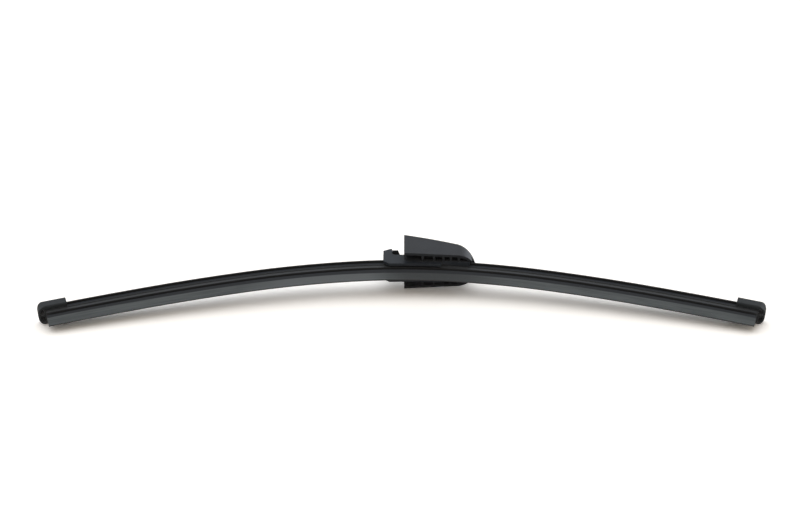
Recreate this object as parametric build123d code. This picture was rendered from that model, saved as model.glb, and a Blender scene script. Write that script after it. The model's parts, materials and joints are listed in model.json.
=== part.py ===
from build123d import *
import math
import os

# Rear-window beam wiper blade, in millimetres, lying on its side as it comes to rest on a table.
# Blade frame: X along the blade, Y from the glass to the arm, Z across; the origin is half way
# along, on the mid plane of the two spring strips. The last section lays the blade on its side.

# The blade's free curve: bent most in the middle and no more than the glass at the tips
BLADE_LENGTH = 403.8
GLASS_RADIUS = 2020.0
MIDDLE_RADIUS = 268.0
ARC_COUNT = 7

# Spring strips
STRIP_THICKNESS = 0.9
STRIP_WIDTH = 3.65
STRIP_SPACING = 2.4
STRIP_EDGE_CHAMFER = 0.25

# Rubber, from its back down to its wiping edge
GROOVE_FIT = 0.05
BACK_THICKNESS = 1.1
BACK_WIDTH = 6.4
SHELF_THICKNESS = 1.9
SHELF_WIDTH = 7.2
FLANGE_THICKNESS = 1.85
FLANGE_WIDTH = 6.3
NECK_HEIGHT = 1.7
NECK_WIDTH = 1.0
SHOULDER_HEIGHT = 1.45
SHOULDER_WIDTH = 5.8
LIP_HEIGHT = 4.25
LIP_ROOT_WIDTH = 4.0
LIP_EDGE_WIDTH = 0.7
LIP_HOLLOW = 0.15

# Clip fit of the caps and the connector on the strips
CLIP_FIT = 0.1
CLAW_FIT = 0.22

# End caps
CAP_LENGTH = 15.9
CAP_WALL = 1.25
CAP_BACK = 1.4
CAP_BACK_ROUND = 0.9
CAP_CLAW_DEPTH = 1.65
CAP_CLAW_ROUND = 0.8
CAP_END_DEPTH = 4.0
CAP_END_ROUND = 1.7
CAP_PLAN_ROUND = 4.6
CAP_FRONT_ROUND = 1.2
CAP_END_WALL = 1.1
CAP_STOP = 0.7
CAP_WEB = 1.0

# Connector base: saddle, claws, skirts and hook
SADDLE_LEFT = -10.2
SADDLE_RIGHT = 38.0
SADDLE_WALL = 1.55
SADDLE_ROOF = 1.1
SADDLE_CLAW_DEPTH = 1.65
SKIRT_DEPTH = 3.1
SKIRT_WALL = 1.6
SKIRT_END = 22.5
SKIRT_LEAD_LENGTH = 3.3
SKIRT_LEAD_DEPTH = 2.3
PIN_RADIUS = 1.75
PIN_X = -3.6
HOOK_TIP_X = -1.0
HOOK_ROOF = 0.5
HOOK_HORN_HEIGHT = 1.3
HOOK_HORN_LENGTH = 0.9
HOOK_GRIP_ANGLE = 60.0
HOOK_TIP_CHAMFER = 1.0
HOOK_TIP_CHAMFER_WIDTH = 2.8
LATCH_GROOVE_START = 8.0
LATCH_GROOVE_HEIGHT = 1.4
LATCH_GROOVE_DEPTH = 0.45
LATCH_GROOVE_Y = 0.4

# Connector cover: fin-shaped shell
COVER_LEFT = 1.4
COVER_NOSE = 41.6
COVER_FRONT = -3.6
COVER_WIDTH = 25.2
COVER_SHOULDER_X = 31.0
COVER_SHOULDER_INSET = 1.7
COVER_NOSE_WIDTH = 4.0
COVER_NOSE_Y = 1.0
COVER_WALL = 1.5
COVER_DRAFT = 6.0
RIDGE_LEFT_Y = 17.15
RIDGE_END_X = 31.0
RIDGE_END_Y = 9.75
RIDGE_CROWN = 0.5
RIDGE_ROUND = 2.2
COVER_FIT = 0.1
RIB_THICKNESS = 1.3
RIB_FRONT = -3.0
RIB_TOP = 6.0
RIB_PLACES = (11.7, 18.1, 23.2, 27.4, 31.8)
MOUTH_WIDTH = 15.6

# Heights worked out from the sizes above, all from the strips' mid plane
half_length = BLADE_LENGTH / 2
strip_top = STRIP_THICKNESS / 2
strip_inner = STRIP_SPACING / 2
strip_outer = strip_inner + STRIP_WIDTH
groove_top = strip_top + GROOVE_FIT
back_top = groove_top + BACK_THICKNESS
shelf_low = -groove_top - SHELF_THICKNESS
flange_low = shelf_low - FLANGE_THICKNESS
neck_low = flange_low - NECK_HEIGHT
shoulder_low = neck_low - SHOULDER_HEIGHT
lip_edge = shoulder_low - LIP_HEIGHT
clip_half = strip_outer + CLIP_FIT
clip_top = back_top + CLIP_FIT
claw_top = -strip_top - CLIP_FIT
claw_half = SHELF_WIDTH / 2 + CLAW_FIT

# The blade's line: tangent arcs whose bend follows the even-pressure law of a beam blade
arc_length = BLADE_LENGTH / ARC_COUNT
knots = [arc_length * (i - ARC_COUNT / 2) for i in range(ARC_COUNT + 1)]


def heading(s):
    """Fall of the line, in radians, at length s from the middle."""
    extra = 1 / MIDDLE_RADIUS - 1 / GLASS_RADIUS
    eased = 1 - (1 - abs(s) / half_length) ** 3
    return s / GLASS_RADIUS + math.copysign(extra * half_length / 3 * eased, s)


def line_pose(s):
    """Point and fall of the chain of arcs at length s from the middle."""
    x = 0.0
    y = 0.0
    fall = 0.0
    done = 0.0
    for knot in [k for k in knots if k > 0]:
        piece = min(abs(s), knot) - done
        if piece <= 0:
            break
        bend = (heading(knot) - heading(done)) / (knot - done)
        x += (math.sin(fall + bend * piece) - math.sin(fall)) / bend
        y += (math.cos(fall + bend * piece) - math.cos(fall)) / bend
        fall += bend * piece
        done = knot
    side = math.copysign(1, s)
    return Vector(side * x, y, 0), side * fall


def blade_line(start, stop):
    """The blade's line from one length to another, one arc between each two knots."""
    stops = [start] + [k for k in knots if start < k < stop] + [stop]
    arcs = []
    for a, b in zip(stops, stops[1:]):
        arcs.append(ThreePointArc(line_pose(a)[0], line_pose((a + b) / 2)[0], line_pose(b)[0]))
    return Wire(arcs)


def cross_plane(s):
    """Plane across the blade: local x away from the glass, local y across, local z along."""
    point, fall = line_pose(s)
    away = (math.sin(fall), math.cos(fall), 0)
    along = (math.cos(fall), -math.sin(fall), 0)
    return Plane(origin=point, x_dir=away, z_dir=along)


def run_along(profile, start, stop):
    """Sweep a profile of (height, across) along part of the blade's line."""
    return sweep(cross_plane(start) * profile, path=blade_line(start, stop))


def band(low, high, near, far):
    """Rectangle in a cross profile, from one height to another and one side to the other."""
    return Pos((low + high) / 2, (near + far) / 2) * Rectangle(high - low, far - near)


def block(x_low, x_high, y_low, y_high, half_width):
    """Box across the blade's full width, given its corners in the side view."""
    box = Box(x_high - x_low, y_high - y_low, 2 * half_width)
    return Pos((x_low + x_high) / 2, (y_low + y_high) / 2, 0) * box


def plan_plane(height):
    """Plane seen along the blade's Y, at a height above the strips."""
    return Plane(origin=(0, height, 0), x_dir=(1, 0, 0), z_dir=(0, 1, 0))


def side_solid(outline, half_width):
    """Outline in the side view, spread to both sides of the middle plane."""
    return extrude(make_face(outline), amount=half_width, both=True)


# Rubber strip: one extruded section, cut off just short of the caps' end walls
def rubber_profile():
    upper = Polyline(
        (back_top, 0),
        (back_top, BACK_WIDTH / 2),
        (groove_top, BACK_WIDTH / 2),
        (groove_top, strip_inner - GROOVE_FIT),
        (-groove_top, strip_inner - GROOVE_FIT),
        (-groove_top, SHELF_WIDTH / 2),
        (shelf_low, SHELF_WIDTH / 2),
        (shelf_low, FLANGE_WIDTH / 2),
        (flange_low, FLANGE_WIDTH / 2),
        (flange_low, NECK_WIDTH / 2),
        (neck_low, NECK_WIDTH / 2),
        (neck_low, SHOULDER_WIDTH / 2),
        (shoulder_low, LIP_ROOT_WIDTH / 2),
    )
    flank = SagittaArc((shoulder_low, LIP_ROOT_WIDTH / 2), (lip_edge, LIP_EDGE_WIDTH / 2), LIP_HOLLOW)
    edge = Line((lip_edge, LIP_EDGE_WIDTH / 2), (lip_edge, 0))
    half = Curve() + [upper, flank, edge]
    return make_face(half + mirror(half, Plane.XZ))


rubber_half = half_length - CAP_END_DEPTH - CLIP_FIT
rubber_strip = run_along(rubber_profile(), -rubber_half, rubber_half)


# Spring strips: flat steel with broken edges, one in each groove
def spring_strip(side):
    middle = side * (strip_inner + strip_outer) / 2
    section = chamfer(Rectangle(STRIP_THICKNESS, STRIP_WIDTH).vertices(), STRIP_EDGE_CHAMFER)
    return run_along(Pos(0, middle) * section, -rubber_half, rubber_half)


spring_strip_upper = spring_strip(1)
spring_strip_lower = spring_strip(-1)


# Clip section shared by the caps and the connector: a channel over the rubber with claws under the strips
def clip_profile(half_width, top, claw_low):
    outer = band(claw_low, top, -half_width, half_width)
    pocket = band(claw_top, clip_top, -clip_half, clip_half)
    throat = band(claw_low - CLIP_FIT, claw_top, -claw_half, claw_half)
    return outer - pocket - throat


cap_half = clip_half + CAP_WALL
cap_top = clip_top + CAP_BACK
cap_low = claw_top - CAP_CLAW_DEPTH


# End cap, drawn along +Z from its open end: a clip channel, then an end block with two pockets in its front
channel_length = CAP_LENGTH - CAP_END_DEPTH


def end_plan(inset):
    """Block with the cap's rounded plan, or the bound of its pockets when inset by the wall."""
    half_width = cap_half - inset
    plan = band(-half_width, half_width, 0, CAP_LENGTH - inset)
    plan = fillet(plan.vertices().group_by(Axis.Y)[-1], CAP_PLAN_ROUND - inset)
    return extrude(Plane.YZ * plan, cap_top - cap_low, both=True)


def soft_edged(section):
    """Section of the cap with its outer edges rounded, at the back and at the front."""
    section = fillet(section.vertices().group_by(Axis.X)[-1], CAP_BACK_ROUND)
    front = section.vertices().group_by(Axis.X)[0].sort_by(Axis.Y)
    return fillet(front[:1] + front[-1:], CAP_CLAW_ROUND)


def end_cap():
    clip = soft_edged(clip_profile(cap_half, cap_top, cap_low))
    end = soft_edged(band(cap_low, cap_top, -cap_half, cap_half))
    side = band(cap_low, cap_top, 0, CAP_LENGTH)
    outer = side.vertices().group_by(Axis.Y)[-1].sort_by(Axis.X)
    side = fillet(outer[-1:], CAP_END_ROUND)
    outer = side.vertices().group_by(Axis.X)[0].sort_by(Axis.Y)
    side = fillet(outer[-1:], CAP_FRONT_ROUND)
    pocket = band(cap_low, clip_top, CAP_WEB / 2, cap_half)
    pockets = extrude(pocket + mirror(pocket, Plane.XZ), CAP_END_DEPTH)
    cap = extrude(clip, channel_length) + Pos(0, 0, channel_length) * extrude(end, CAP_END_DEPTH)
    cap = cap & extrude(Plane.XZ * side, cap_half, both=True) & end_plan(0)
    return cap - (Pos(0, 0, channel_length + CAP_STOP) * pockets & end_plan(CAP_END_WALL))


cap_place = cross_plane(half_length - CAP_LENGTH / 2).offset(-CAP_LENGTH / 2)
end_cap_right = cap_place * end_cap()
end_cap_left = mirror(end_cap_right, Plane.YZ)

# Connector base: saddle on the strips
saddle_half = clip_half + SADDLE_WALL
saddle_top = clip_top + SADDLE_ROOF
saddle_low = claw_top - SADDLE_CLAW_DEPTH
skirt_low = saddle_low - SKIRT_DEPTH
saddle = run_along(clip_profile(saddle_half, saddle_top, saddle_low), SADDLE_LEFT, SADDLE_RIGHT)
skirt_profile = band(skirt_low, saddle_low, saddle_half - SKIRT_WALL, saddle_half)
skirts = run_along(skirt_profile + mirror(skirt_profile, Plane.XZ), SADDLE_LEFT, SKIRT_END)

# Hook that takes the arm's cross pin: its mouth faces the cover and its roof springs over the pin
pin_y = saddle_top + PIN_RADIUS
hook_top = pin_y + PIN_RADIUS + HOOK_ROOF
grip = math.radians(HOOK_GRIP_ANGLE)
grip_point = (PIN_X + PIN_RADIUS * math.cos(grip), pin_y + PIN_RADIUS * math.sin(grip))
horn_x = PIN_X - PIN_RADIUS
hook_outline = Polyline(
    (SADDLE_LEFT, clip_top),
    (SADDLE_LEFT, hook_top - HOOK_ROOF),
    (horn_x - HOOK_HORN_LENGTH, hook_top + HOOK_HORN_HEIGHT),
    (horn_x, hook_top + HOOK_HORN_HEIGHT),
    (horn_x, hook_top),
    (HOOK_TIP_X, hook_top),
    (HOOK_TIP_X, clip_top),
    close=True,
)
mouth_outline = Polyline(
    (PIN_X, saddle_top),
    (COVER_LEFT, saddle_top),
    (COVER_LEFT, hook_top),
    (HOOK_TIP_X, hook_top - HOOK_ROOF / 2),
    grip_point,
    (PIN_X, pin_y),
    close=True,
)
pin = Pos(PIN_X, pin_y, 0) * Cylinder(PIN_RADIUS, 2 * saddle_half)
pin_seat = side_solid(mouth_outline, saddle_half) + pin
tip_corner = Polyline(
    (HOOK_TIP_X - HOOK_TIP_CHAMFER, saddle_half),
    (HOOK_TIP_X, saddle_half - HOOK_TIP_CHAMFER_WIDTH),
    (HOOK_TIP_X, saddle_half),
    close=True,
)
tip_cut = extrude(plan_plane(pin_y) * make_face(tip_corner), hook_top - pin_y)
hook = side_solid(hook_outline, saddle_half) - tip_cut - mirror(tip_cut, Plane.XY)

# Slanted lead at the skirts' left end
lead_outline = Polyline(
    (SADDLE_LEFT, skirt_low + SKIRT_LEAD_DEPTH),
    (SADDLE_LEFT + SKIRT_LEAD_LENGTH, skirt_low),
    (SADDLE_LEFT + SKIRT_LEAD_LENGTH, skirt_low - SKIRT_LEAD_DEPTH),
    (SADDLE_LEFT - SKIRT_LEAD_LENGTH, skirt_low - SKIRT_LEAD_DEPTH),
    (SADDLE_LEFT - SKIRT_LEAD_LENGTH, skirt_low + SKIRT_LEAD_DEPTH),
    close=True,
)


# Latch grooves along both sides of the saddle, and the teeth on the cover's ribs that snap into them
def latch(play):
    low = LATCH_GROOVE_Y - LATCH_GROOVE_HEIGHT / 2 + play
    high = LATCH_GROOVE_Y + LATCH_GROOVE_HEIGHT / 2 - play
    near = saddle_half - LATCH_GROOVE_DEPTH + play
    one_side = band(low, high, near, saddle_half + SADDLE_WALL)
    return run_along(one_side + mirror(one_side, Plane.XZ), LATCH_GROOVE_START, SADDLE_RIGHT)


connector_base = saddle + skirts + hook - pin_seat - side_solid(lead_outline, saddle_half) - latch(0)


# Connector cover: outer form, or its hollow when inset by the wall and run out through the open sides
def cover_form(inset):
    left = COVER_LEFT - inset
    front = COVER_FRONT - inset
    nose = COVER_NOSE - inset
    slope = (RIDGE_END_Y - RIDGE_LEFT_Y) / (RIDGE_END_X - COVER_LEFT)
    ridge_start = (left, RIDGE_LEFT_Y - inset - slope * inset)
    ridge_end = (RIDGE_END_X, RIDGE_END_Y - inset)
    nose_top = (nose, COVER_NOSE_Y)
    ridge = SagittaArc(ridge_start, ridge_end, RIDGE_CROWN)
    side = Curve() + [
        Line((left, front), ridge_start),
        ridge,
        TangentArc(ridge_end, nose_top, tangent=ridge % 1),
        Line(nose_top, (nose, front)),
        Line((nose, front), (left, front)),
    ]
    flare = -COVER_SHOULDER_INSET / (COVER_SHOULDER_X - COVER_LEFT)
    shoulder = (COVER_SHOULDER_X, COVER_WIDTH / 2 - COVER_SHOULDER_INSET - inset)
    corner = (left, COVER_WIDTH / 2 - inset)
    nose_side = (nose, COVER_NOSE_WIDTH / 2)
    half = Curve() + [
        Line((left, 0), corner),
        Line(corner, shoulder),
        TangentArc(shoulder, nose_side, tangent=(1, flare)),
        Line(nose_side, (nose, 0)),
    ]
    plan = make_face(half + mirror(half, Plane.XZ))
    body = extrude(plan_plane(front) * plan, RIDGE_LEFT_Y - front)
    walls = body.faces().sort_by(Axis.X)[1:] - body.faces().filter_by(Plane.XZ)
    body = draft(walls, plan_plane(COVER_FRONT), COVER_DRAFT)
    return body & side_solid(side, COVER_WIDTH)


def rib(x):
    return block(x - RIB_THICKNESS / 2, x + RIB_THICKNESS / 2, RIB_FRONT, RIB_TOP, COVER_WIDTH)


cover_block = cover_form(0)
ridge_edges = cover_block.faces().sort_by(Axis.Y)[-1].edges().sort_by(Axis.Z)
cover_block = fillet(ridge_edges[:1] + ridge_edges[-1:], RIDGE_ROUND)
rim_x = COVER_LEFT + RIB_THICKNESS / 2
ribs = Part() + [rib(x) for x in (rim_x,) + RIB_PLACES]
ribs = ribs & cover_form(COVER_WALL / 2)
mouth = block(COVER_LEFT, RIB_PLACES[0] - RIB_THICKNESS / 2, skirt_low, RIDGE_LEFT_Y, MOUTH_WIDTH / 2)
tunnel_half = saddle_half + COVER_FIT
tunnel_profile = band(lip_edge, saddle_top + COVER_FIT, -tunnel_half, tunnel_half)
tunnel = run_along(tunnel_profile, COVER_LEFT - tunnel_half, COVER_NOSE + tunnel_half)
teeth = latch(COVER_FIT) & ribs
connector_cover = cover_block - cover_form(COVER_WALL) + (ribs - mouth) - tunnel + teeth

# Lay the blade on its side: it rests on the caps' rounded edges and on a corner of the cover's open end
cap_foot_along = min(channel_length, CAP_LENGTH - CAP_PLAN_ROUND)
round_center = (cap_low + CAP_CLAW_ROUND, CAP_CLAW_ROUND - cap_half, cap_foot_along)
cap_foot = cap_place.from_local_coords(round_center)
cover_foot = Vector(COVER_LEFT, COVER_FRONT, -COVER_WIDTH / 2)
rise = cap_foot.Z - cover_foot.Z
reach = cover_foot.Y - cap_foot.Y
tilt = math.degrees(math.acos(CAP_CLAW_ROUND / math.hypot(rise, reach)) - math.atan2(reach, rise))
pieces = {
    "rubber_strip": rubber_strip,
    "spring_strip_upper": spring_strip_upper,
    "spring_strip_lower": spring_strip_lower,
    "end_cap_left": end_cap_left,
    "end_cap_right": end_cap_right,
    "connector_base": connector_base,
    "connector_cover": connector_cover,
}
laid = {name: Rot(X=tilt) * piece for name, piece in pieces.items()}
box = Compound(list(laid.values())).bounding_box()
to_table = Pos(-box.center().X, -box.center().Y, -box.min.Z)

os.makedirs("parts", exist_ok=True)
for name, piece in laid.items():
    export_step(to_table * piece, f"parts/{name}.step")
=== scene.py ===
import json
import math

import bpy
import numpy as np
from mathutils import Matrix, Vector

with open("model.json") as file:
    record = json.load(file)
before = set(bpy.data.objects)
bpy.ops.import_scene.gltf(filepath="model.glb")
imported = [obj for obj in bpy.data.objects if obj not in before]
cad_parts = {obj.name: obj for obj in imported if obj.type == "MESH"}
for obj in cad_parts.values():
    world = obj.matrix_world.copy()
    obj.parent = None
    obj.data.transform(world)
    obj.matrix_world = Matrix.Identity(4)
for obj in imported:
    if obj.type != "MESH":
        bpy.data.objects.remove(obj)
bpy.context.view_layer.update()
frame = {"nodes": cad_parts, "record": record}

# Wiping rubber: one black extrusion with two grooves for the steel strips, a thin neck and a wiping lip.
# Its flanks are dusted with graphite, thickest on the lip, and its grooves and front faces stay bare, in a
# grey that is partly painted fill light lifting their shade. On the lip a paler stretch on one side of the
# middle is a painted pool of light, and a darker stretch under the connector cover is the cover's painted
# shadow.
# Heights are from the strips' mid plane, and places along the blade from its middle.
PIN_ABOVE_STRIPS = 0.00455
BOW_DEGREE = 3
FLANGE_TOP = -0.0024
NECK_TOP = -0.00425
LIP_TOP = -0.0076
DUST_FADE = 0.00015
FLANK_TURN = (0.2, 0.8)
# Bare rubber on faces that don't turn across: its own tone, lifted as painted fill light in the grooves and
# on the front faces
BARE_RUBBER_AND_FILL = (0.045, 0.047, 0.051, 1)
BACK_DUSTED = (0.0238, 0.0266, 0.0312, 1)
FLANGE_DUSTED = (0.0472, 0.0508, 0.055, 1)
LIP_DUSTED = (0.0645, 0.0733, 0.0785, 1)
LIP_PALE = (0.0925, 0.1042, 0.111, 1)
LIP_STREAK_SHARE = 0.55
LIP_STREAK_RANGE = (0.4, 0.6)
# Painted light: a paler stretch of the lip on one side of the middle, a painted pool of light
LIP_PAINTED_LIGHT = (0.107, 0.1187, 0.1275, 1)
LIGHT_POOL_START = (-0.1, -0.055)
LIGHT_POOL_STOP = (-0.022, -0.004)
# Painted shadow: a darker stretch of the lip under the connector cover
LIP_COVER_SHADOW = (0.049, 0.054, 0.058, 1)
COVER_SHADOW_START = (-0.012, 0.004)
COVER_SHADOW_STOP = (0.036, 0.065)
PAINTED_TONE_SHARE = 0.85
NOISE_DETAIL = 3.0
NOISE_MEAN = 0.5
DIE_LINES_PER_METRE = 2600
DIE_LINE_STRETCH = 60
DIE_LINE_DEPTH = 0.00004
DIE_LINE_BUMP = 0.4
DUST_CLOUDS_PER_METRE = 160
DUST_CLOUD_STRETCH = 5
SPECKS_PER_METRE = 1500
SPECK_EDGE = (0.1, 0.25)
SPECK_DRAW = (0.93, 0.99)
SPECK_STRENGTH = 0.6
SPECK_GREY = (0.2, 0.2, 0.19, 1)
RUBBER_ROUGHNESS = 0.55
LIP_EXTRA_ROUGHNESS = 0.12
DIE_LINE_ROUGHNESS = 0.12
SPECULAR_LEVEL = 0.15
# Sockets of the Mix node that work on colours: others on it have the same names
MIX_INPUTS = (0, 6, 7)
MIX_OUTPUT = 2


class Field:
    """A shader socket: sums and products of it add Math nodes to its tree."""

    def __init__(self, tree, socket=None):
        self.tree = tree
        self.socket = socket

    def node(self, kind, settings=None, values=None, output=0):
        """Add a node: its settings first, then the values or links of its sockets."""
        made = self.tree.nodes.new("ShaderNode" + kind)
        for name, setting in (settings or {}).items():
            setattr(made, name, setting)
        for name, value in (values or {}).items():
            if isinstance(value, Field):
                self.tree.links.new(value.socket, made.inputs[name])
            else:
                made.inputs[name].default_value = value
        return Field(self.tree, made.outputs[output] if made.outputs else None)

    def math(self, operation, *terms):
        return self.node("Math", {"operation": operation}, dict(enumerate(terms)))

    def __add__(self, other):
        return self.math("ADD", self, other)

    def __sub__(self, other):
        return self.math("SUBTRACT", self, other)

    def __rsub__(self, other):
        return self.math("SUBTRACT", other, self)

    def __mul__(self, other):
        return self.math("MULTIPLY", self, other)

    def __abs__(self):
        return self.math("ABSOLUTE", self)

    __radd__ = __add__
    __rmul__ = __mul__


def new_finish(name):
    """An empty material, and the field that adds nodes to it."""
    material = bpy.data.materials.new(name)
    material.use_nodes = True
    material.node_tree.nodes.clear()
    return material, Field(material.node_tree)


def surface(shade, colour, roughness, normal):
    """The outside of a piece: its colour, its roughness and its relief."""
    values = {
        "Base Color": colour,
        "Roughness": roughness,
        "Specular IOR Level": SPECULAR_LEVEL,
        "Normal": normal,
    }
    shader = shade.node("BsdfPrincipled", values=values)
    shade.node("OutputMaterial", values={"Surface": shader})


def step_up(field, low, high):
    """0 below low, 1 above high and a smooth step between."""
    settings = {"interpolation_type": "SMOOTHSTEP"}
    return field.node("MapRange", settings, {"Value": field, "From Min": low, "From Max": high})


def between(field, start, stop):
    """1 from one smooth step to another, and 0 on both sides."""
    return step_up(field, *start) * (1 - step_up(field, *stop))


def mix(mask, first, second):
    """The first colour where the mask is 0, the second where it is 1."""
    values = dict(zip(MIX_INPUTS, (mask, first, second)))
    return mask.node("Mix", {"data_type": "RGBA"}, values, output=MIX_OUTPUT)


def dress(node, material):
    """Give a piece its finish."""
    slots = frame["nodes"][node].data.materials
    slots.clear()
    slots.append(material)


# Blade's own directions: the pin hook's axis lies across the blade, and the strips carry its bow
hook = next(m for m in frame["record"]["mounts"] if m["name"] == "arm_pin_hook")
tilt = math.atan2(-hook["axis"][1], hook["axis"][2])
away = Vector((0, math.cos(tilt), math.sin(tilt)))
across = Vector((0, -math.sin(tilt), math.cos(tilt)))
middle = Vector(hook["pos_m"]) - PIN_ABOVE_STRIPS * away
middle.x = 0
strip = np.array([v.co for v in frame["nodes"]["spring_strip_upper"].data.vertices])
bow = np.polyfit(strip[:, 0] ** 2, (strip - np.array(middle)) @ np.array(away), BOW_DEGREE)


def blade_place(shade):
    """Along the blade, height above the strips' mid plane and distance across, as fields."""
    point = shade.node("TexCoord", output="Object")
    along, y, z = [shade.node("SeparateXYZ", values={"Vector": point}, output=axis) for axis in "XYZ"]
    square = along * along
    line = float(bow[0])
    for term in bow[1:]:
        line = square * line + float(term)
    height = (y - middle.y) * away.y + (z - middle.z) * away.z - line
    side = (y - middle.y) * across.y + (z - middle.z) * across.z
    return along, height, side


def facing(shade, direction):
    """How far the surface turns towards a direction of the object, from -1 to 1."""
    normal = shade.node("NewGeometry", output="Normal")
    values = {0: normal, 1: direction}
    return shade.node("VectorMath", {"operation": "DOT_PRODUCT"}, values, output="Value")


def streaks(place, per_metre, stretch, detail=NOISE_DETAIL):
    """Noise drawn out along the blade."""
    along, height, side = place
    vector = along.node("CombineXYZ", values={"X": along * (1 / stretch), "Y": height, "Z": side})
    return along.node("TexNoise", values={"Vector": vector, "Scale": per_metre, "Detail": detail})


def dust_edge(height):
    """Where a band of dust fades out, below and above a height."""
    return height - DUST_FADE, height + DUST_FADE


def dust_specks(shade):
    """Grains of dust, each in its own cell, in a few cells drawn by chance."""
    cells = {"Vector": shade.node("TexCoord", output="Object"), "Scale": SPECKS_PER_METRE}
    grain = 1 - step_up(shade.node("TexVoronoi", values=cells), *SPECK_EDGE)
    chance = shade.node("TexVoronoi", values=cells, output="Color")
    chance = shade.node("SeparateColor", values={"Color": chance}, output="Red")
    return grain * step_up(chance, *SPECK_DRAW) * SPECK_STRENGTH


def rubber_finish():
    material, shade = new_finish("graphite_rubber")
    place = blade_place(shade)
    along, height, _ = place
    lip = 1 - step_up(height, *dust_edge(LIP_TOP))
    flange = between(height, dust_edge(NECK_TOP), dust_edge(FLANGE_TOP))
    flank = step_up(abs(facing(shade, across)), *FLANK_TURN)
    die_lines = streaks(place, DIE_LINES_PER_METRE, DIE_LINE_STRETCH)
    clouds = streaks(place, DUST_CLOUDS_PER_METRE, DUST_CLOUD_STRETCH)
    uneven = clouds * (1 - LIP_STREAK_SHARE) + die_lines * LIP_STREAK_SHARE
    lip_tone = mix(step_up(uneven, *LIP_STREAK_RANGE), LIP_DUSTED, LIP_PALE)
    # The paler stretch is a painted pool of light, and the darker one is the cover's painted shadow
    lip_tone = mix(between(along, LIGHT_POOL_START, LIGHT_POOL_STOP) * PAINTED_TONE_SHARE, lip_tone, LIP_PAINTED_LIGHT)
    lip_tone = mix(between(along, COVER_SHADOW_START, COVER_SHADOW_STOP) * PAINTED_TONE_SHARE, lip_tone, LIP_COVER_SHADOW)
    back_tone = mix(flange, BACK_DUSTED, FLANGE_DUSTED)
    # Faces that don't turn across take the bare tone, partly painted fill light
    colour = mix(flank, BARE_RUBBER_AND_FILL, mix(lip, back_tone, lip_tone))
    colour = mix(dust_specks(shade), colour, SPECK_GREY)
    roughness = RUBBER_ROUGHNESS + DIE_LINE_ROUGHNESS * (die_lines - NOISE_MEAN)
    roughness = roughness + LIP_EXTRA_ROUGHNESS * lip
    relief = {"Strength": DIE_LINE_BUMP, "Distance": DIE_LINE_DEPTH, "Height": die_lines}
    surface(shade, colour, roughness, shade.node("Bump", values=relief))
    return material


dress("rubber_strip", rubber_finish())

# Spring strips: two flat strips of spring steel, rolled to the blade's bow and coated black.
# One is pushed into each groove of the rubber, and only its outer edge shows.
STEEL_COAT = (0.012, 0.012, 0.0125, 1)
STEEL_COAT_PALE = (0.018, 0.018, 0.0185, 1)
COAT_RANGE = (0.35, 0.65)
ROLL_LINES_PER_METRE = 1800
ROLL_LINE_STRETCH = 40
ROLL_LINE_DEPTH = 0.00002
ROLL_LINE_BUMP = 0.25
STEEL_ROUGHNESS = 0.36
ROLL_LINE_ROUGHNESS = 0.2


def steel_finish():
    material, shade = new_finish("black_coated_steel")
    roll_lines = streaks(blade_place(shade), ROLL_LINES_PER_METRE, ROLL_LINE_STRETCH)
    colour = mix(step_up(roll_lines, *COAT_RANGE), STEEL_COAT, STEEL_COAT_PALE)
    roughness = STEEL_ROUGHNESS + ROLL_LINE_ROUGHNESS * (roll_lines - NOISE_MEAN)
    relief = {"Strength": ROLL_LINE_BUMP, "Distance": ROLL_LINE_DEPTH, "Height": roll_lines}
    surface(shade, colour, roughness, shade.node("Bump", values=relief))
    return material


coated_steel = steel_finish()
dress("spring_strip_upper", coated_steel)
dress("spring_strip_lower", coated_steel)

# End caps: moulded in black plastic with a spark-eroded grain, and clipped over the strips' ends.
# Handling has rubbed their edges paler, and the two pockets of each cap's front are toned a pale grey:
# dust, and mostly painted fill light lifting their shade.
CAP_BLACK = (0.0142, 0.0167, 0.0185, 1)
CAP_PALE = (0.0203, 0.023, 0.0255, 1)
# Tones of the caps' partly closed faces and pockets: dust, with painted fill light lifting the pockets
CAP_RIM_DUST_AND_FILL = (0.022, 0.025, 0.027, 1)
CAP_POCKET_DUST_AND_FILL = (0.215, 0.225, 0.245, 1)
CAP_GRAIN_SIZE = 0.00026
CAP_GRAIN_DEPTH = 0.00007
CAP_ROUGHNESS = 0.5
GRAIN_BUMP = 0.6
GRAIN_ROUGHNESS = 0.2
FLOW_PER_METRE = 130
FLOW_SHARE = 0.45
TONE_RANGE = (0.35, 0.65)
RAY_SAMPLES = 4
EDGE_RADIUS = 0.0003
EDGE_TURN = (0.03, 0.25)
EDGE_PATCHES = (0.3, 0.6)
EDGE_POLISH = 0.1
EDGE_WORN = (0.045, 0.047, 0.05, 1)
SCUFFS_PER_METRE = 3000
SCUFF_STRETCH = 22
SCUFF_DETAIL = 2.0
SCUFF_RANGE = (0.64, 0.74)
SCUFF_PATCHES = (0.45, 0.65)
SCUFF_STRENGTH = 0.5
HOLLOW_REACH = 0.005
HOLLOW_RIM = (0.25, 0.5)
HOLLOW_DEPTH = (0.6, 0.9)
HOLLOW_ROUGHNESS = 0.2


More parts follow.
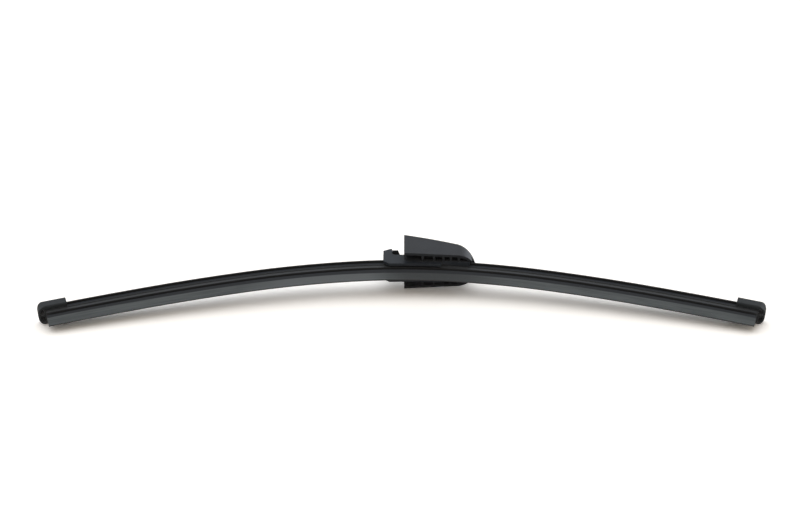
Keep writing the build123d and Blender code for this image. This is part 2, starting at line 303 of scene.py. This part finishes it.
def plastic_finish(name, tones, grain_size, grain_depth, roughness):
    """Moulded plastic: an eroded grain, a faint flow of tone, rubbed edges, scuffs, and hollows toned with
    dust and painted fill light.
    """
    dark, pale, rim_dust_and_fill, depth_dust_and_fill = tones
    material, shade = new_finish(name)
    point = shade.node("TexCoord", output="Object")
    values = {"Vector": point, "Detail": NOISE_DETAIL}
    grain = shade.node("TexNoise", values={**values, "Scale": 1 / grain_size})
    flow = shade.node("TexNoise", values={**values, "Scale": FLOW_PER_METRE})
    rounded = shade.node("Bevel", {"samples": RAY_SAMPLES}, {"Radius": EDGE_RADIUS})
    edge = step_up(1 - facing(shade, rounded), *EDGE_TURN) * step_up(flow, *EDGE_PATCHES)
    values = {"Distance": HOLLOW_REACH}
    closed = 1 - shade.node("AmbientOcclusion", {"samples": RAY_SAMPLES}, values, output="AO")
    hollow = step_up(closed, *HOLLOW_DEPTH)
    scuffs = streaks(blade_place(shade), SCUFFS_PER_METRE, SCUFF_STRETCH, SCUFF_DETAIL)
    scuffs = step_up(scuffs, *SCUFF_RANGE) * step_up(flow, *SCUFF_PATCHES)
    colour = mix(step_up(flow * FLOW_SHARE + grain * (1 - FLOW_SHARE), *TONE_RANGE), dark, pale)
    colour = mix(edge + scuffs * SCUFF_STRENGTH, colour, EDGE_WORN)
    # Hollows take tones of dust and painted fill light, by how closed in they are
    colour = mix(hollow, mix(step_up(closed, *HOLLOW_RIM), colour, rim_dust_and_fill), depth_dust_and_fill)
    roughness = roughness + GRAIN_ROUGHNESS * (grain - NOISE_MEAN)
    roughness = roughness - EDGE_POLISH * edge + HOLLOW_ROUGHNESS * hollow
    relief = {"Strength": GRAIN_BUMP, "Distance": grain_depth, "Height": grain, "Normal": rounded}
    surface(shade, colour, roughness, shade.node("Bump", values=relief))
    return material


cap_tones = (CAP_BLACK, CAP_PALE, CAP_RIM_DUST_AND_FILL, CAP_POCKET_DUST_AND_FILL)
cap_skin = (CAP_GRAIN_SIZE, CAP_GRAIN_DEPTH, CAP_ROUGHNESS)
cap_plastic = plastic_finish("cap_plastic", cap_tones, *cap_skin)
dress("end_cap_left", cap_plastic)
dress("end_cap_right", cap_plastic)

# Connector base: a saddle with a hook for the arm's pin, moulded in a stiffer plastic with a smoother skin.
# It is clipped on both strips half way along, its partly closed faces are lifted with dust and painted fill
# light, and its depths stay black.
BASE_BLACK = (0.0165, 0.0198, 0.025, 1)
BASE_PALE = (0.0215, 0.0256, 0.0322, 1)
# Partly closed faces of base and cover: dust, and painted fill light lifting their shade
RIM_DUST_AND_FILL = (0.05, 0.052, 0.057, 1)
DEPTH_BLACK = (0.02, 0.0205, 0.0225, 1)
BASE_GRAIN_SIZE = 0.0002
BASE_GRAIN_DEPTH = 0.00004
BASE_ROUGHNESS = 0.45
base_tones = (BASE_BLACK, BASE_PALE, RIM_DUST_AND_FILL, DEPTH_BLACK)
base_skin = (BASE_GRAIN_SIZE, BASE_GRAIN_DEPTH, BASE_ROUGHNESS)
dress("connector_base", plastic_finish("base_plastic", base_tones, *base_skin))

# Connector cover: a fin-shaped shell with ribs across its inside, in black plastic with a coarser grain.
# It is snapped over the base, and the ends of its ribs are lifted with dust and painted fill light.
COVER_BLACK = (0.0145, 0.0163, 0.0195, 1)
COVER_PALE = (0.02, 0.0221, 0.0259, 1)
COVER_GRAIN_SIZE = 0.0003
COVER_GRAIN_DEPTH = 0.00009
COVER_ROUGHNESS = 0.5
cover_tones = (COVER_BLACK, COVER_PALE, RIM_DUST_AND_FILL, DEPTH_BLACK)
cover_skin = (COVER_GRAIN_SIZE, COVER_GRAIN_DEPTH, COVER_ROUGHNESS)
dress("connector_cover", plastic_finish("cover_plastic", cover_tones, *cover_skin))

# White table that the blade lies on, in a white room with warm walls.
# A broad lamp leans over it from behind and from the left, and a small low one stands behind on the right.
TABLE_SIZE = 8.0
TABLE_WHITE = (0.93, 0.93, 0.93, 1)
TABLE_SEEN = (1.2, 1.19, 1.18, 1)
TABLE_BOUNCE = (0.85, 0.83, 0.8, 1)
TABLE_LIFT = 0.02
ROOM_WHITE = (1, 1, 1, 1)
ROOM_TINT = (1.0, 0.91, 0.79, 1)
ROOM_FILL = 0.48
ROOM_HORIZON = 0.45
ROOM_FRONT = 0.34
LAMP_TINT = (0.92, 1.0, 1.11)
LAMP_POWER = 21.0
LAMP_SIZE = 3.0
LAMP_BEHIND = math.radians(20)
LAMP_LEFT = math.radians(16)
LAMP_DISTANCE = 1.4
SIDE_POWER = 8.0
SIDE_SIZE = 0.8
SIDE_LEAN = Vector((0.66, 0.72, 0.13))
SIDE_DISTANCE = 1.5


def rays_of(shade, *kinds):
    """1 for light paths that end in rays of these kinds, 0 for others."""
    return sum(shade.node("LightPath", output=f"Is {kind} Ray") for kind in kinds)


bpy.ops.mesh.primitive_plane_add(size=TABLE_SIZE)
table = bpy.context.object
table.name = "table"
table_white, shade = new_finish("table_white")
seen = rays_of(shade, "Camera")
table_tone = mix(rays_of(shade, "Glossy", "Transmission"), TABLE_BOUNCE, TABLE_WHITE)
diffuse = shade.node("BsdfDiffuse", values={"Color": mix(seen, table_tone, TABLE_SEEN)})
lift = shade.node("Emission", values={"Strength": seen * TABLE_LIFT})
table_shader = shade.node("AddShader", values={0: diffuse, 1: lift})
shade.node("OutputMaterial", values={"Surface": table_shader})
table.data.materials.append(table_white)

world = bpy.data.worlds.new("white_room")
world.use_nodes = True
world.node_tree.nodes.clear()
bpy.context.scene.world = world
shade = Field(world.node_tree)
seen = rays_of(shade, "Camera", "Glossy", "Transmission")
direction = shade.node("TexCoord", output="Generated")
depth, sky = [shade.node("SeparateXYZ", values={"Vector": direction}, output=axis) for axis in "YZ"]
fill = ROOM_FILL * (ROOM_HORIZON + 2 * (1 - ROOM_HORIZON) * sky)
fill = fill + ROOM_FRONT * depth.math("MAXIMUM", 0 - depth, 0)
room_tone = mix(seen, ROOM_TINT, ROOM_WHITE)
room = shade.node("Background", values={"Color": room_tone, "Strength": seen + (1 - seen) * fill})
shade.node("OutputWorld", values={"Surface": room})


def soft_lamp(name, power, size, lean, distance):
    """A square lamp that shines on the blade's middle from a direction."""
    data = bpy.data.lights.new(name, "AREA")
    data.energy = power
    data.size = size
    data.color = LAMP_TINT
    lamp = bpy.data.objects.new(name, data)
    bpy.context.scene.collection.objects.link(lamp)
    lamp.location = middle + lean.normalized() * distance
    lamp.rotation_euler = lean.to_track_quat("Z", "Y").to_euler()


lamp_lean = Vector((-math.tan(LAMP_LEFT), math.tan(LAMP_BEHIND), 1))
soft_lamp("overhead_lamp", LAMP_POWER, LAMP_SIZE, lamp_lean, LAMP_DISTANCE)
soft_lamp("side_lamp", SIDE_POWER, SIDE_SIZE, SIDE_LEAN, SIDE_DISTANCE)

# Camera: it looks down on the lip's side, square to the blade's length.
# Its line of sight is set by its angle to the plane of the blade's bow.
SIGHT_TO_BOW = math.radians(38)
SIGHT_ALONG = -0.0009
SIGHT_ABOVE_STRIPS = 0.0008
CAMERA_DISTANCE = 1.0
LENS = 80.4
SENSOR_WIDTH = 36
camera_data = bpy.data.cameras.new("camera")
camera_data.lens = LENS
camera_data.sensor_width = SENSOR_WIDTH
camera = bpy.data.objects.new("camera", camera_data)
bpy.context.scene.collection.objects.link(camera)
bpy.context.scene.camera = camera
elevation = SIGHT_TO_BOW - tilt
back = Vector((0, -math.cos(elevation), math.sin(elevation)))
target = middle + Vector((SIGHT_ALONG, 0, 0)) + SIGHT_ABOVE_STRIPS * away
camera.location = target + back * CAMERA_DISTANCE
camera.rotation_euler = back.to_track_quat("Z", "Y").to_euler()
bpy.context.scene.view_settings.view_transform = "Standard"
